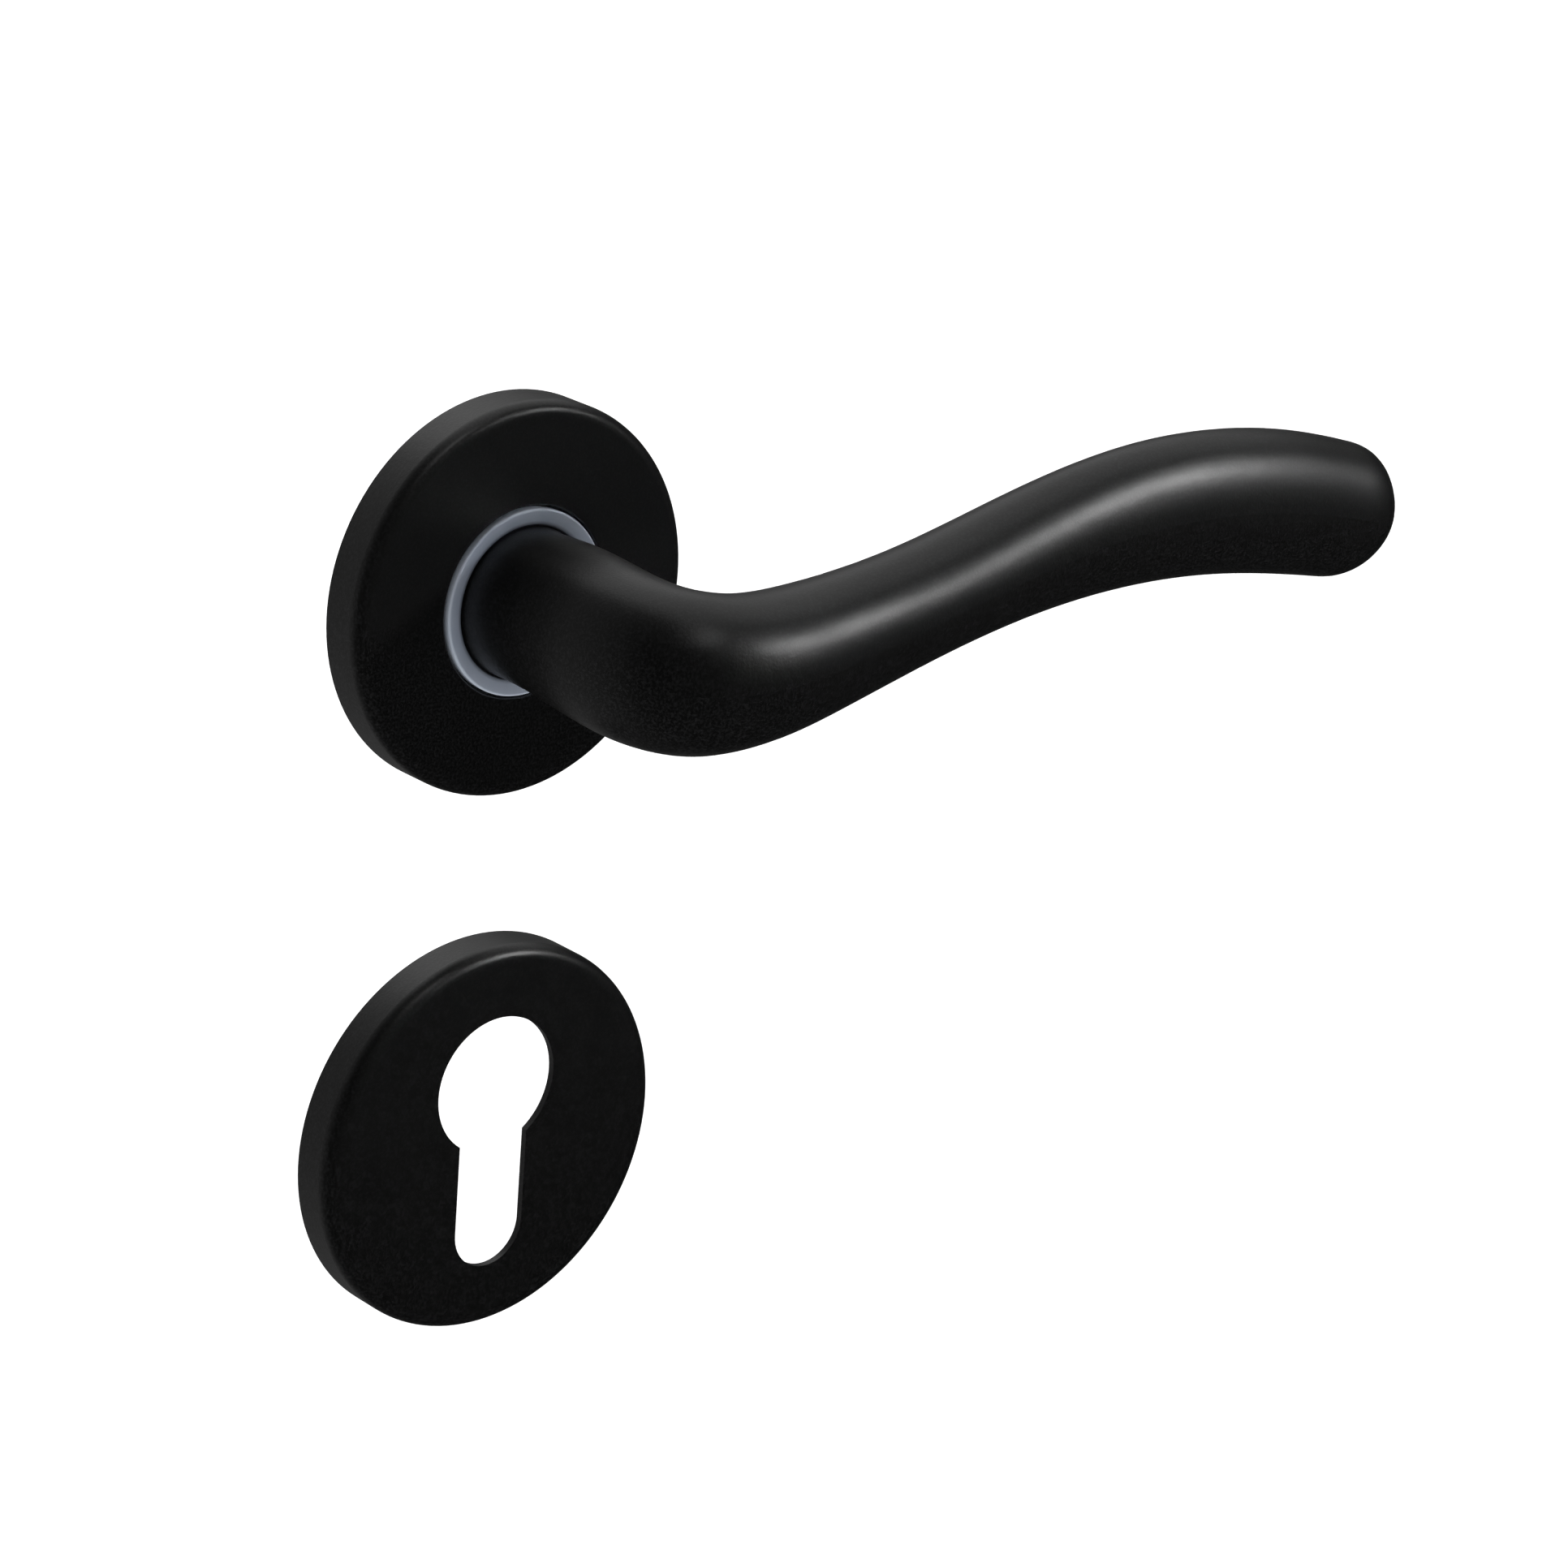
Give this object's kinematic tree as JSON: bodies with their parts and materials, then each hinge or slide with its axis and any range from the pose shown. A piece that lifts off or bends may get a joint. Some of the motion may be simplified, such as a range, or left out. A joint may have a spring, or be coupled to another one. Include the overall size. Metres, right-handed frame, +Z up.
{
  "type": "lever door handle on rose",
  "caption": "Matte black lever handle on a round sprung rose, with a matching round cover plate for a Euro-profile lock cylinder, for one face of a door.",
  "frame": {"origin": "on the spindle axis, in the plane of the door face", "axes": "+X along the grip, +Y into the door, +Z up"},
  "size_m": [0.1608, 0.0719, 0.1341],
  "materials": {
    "black_powder_coat": "fine matte powder coat",
    "grey_nylon": "moulded nylon",
    "zinc_casting": "as-cast zinc alloy",
    "zinc_plated_steel": "bright zinc plate",
    "spring_steel": "drawn and oiled",
    "black_oxide_steel": "black oxide"
  },
  "bodies": {
    "plates": {"rose_base_plate": "zinc_casting", "guide_bush": "grey_nylon", "spring_retaining_plate": "zinc_plated_steel", "return_spring": "spring_steel", "rose_snap_ring": "spring_steel", "rose_lug_upper": "zinc_casting", "rose_lug_lower": "zinc_casting", "rose_screws": "zinc_plated_steel", "escutcheon_base_plate": "zinc_casting", "escutcheon_snap_ring": "spring_steel", "retaining_plate_rivets": "zinc_plated_steel", "escutcheon_screws": "zinc_plated_steel"},
    "lever": {"lever_handle": "black_powder_coat", "thrust_washer": "zinc_plated_steel", "neck_grub_screw": "black_oxide_steel", "square_spindle": "zinc_plated_steel", "return_driver": "zinc_plated_steel", "neck_circlip": "spring_steel"},
    "rose_cover": {"rose_cover": "black_powder_coat"},
    "escutcheon_cover": {"escutcheon_cover": "black_powder_coat"}
  },
  "joints": [
    {"name": "lever_turn", "type": "hinge", "parent": "plates", "child": "lever", "pos_m": [0, 0, 0], "axis": [0, 1, 0], "range_deg": [0, 45], "stiffness_Nm_per_rad": 0.76, "springref_deg": -45.26, "deforming": ["return_spring"]},
    {"name": "rose_cover_slide", "type": "slide", "parent": "plates", "child": "rose_cover", "axis": [0, -1, 0], "range_m": [0, 0.015]},
    {"name": "escutcheon_cover_slide", "type": "slide", "parent": "plates", "child": "escutcheon_cover", "axis": [0, -1, 0], "range_m": [0, 0.02]}
  ]
}
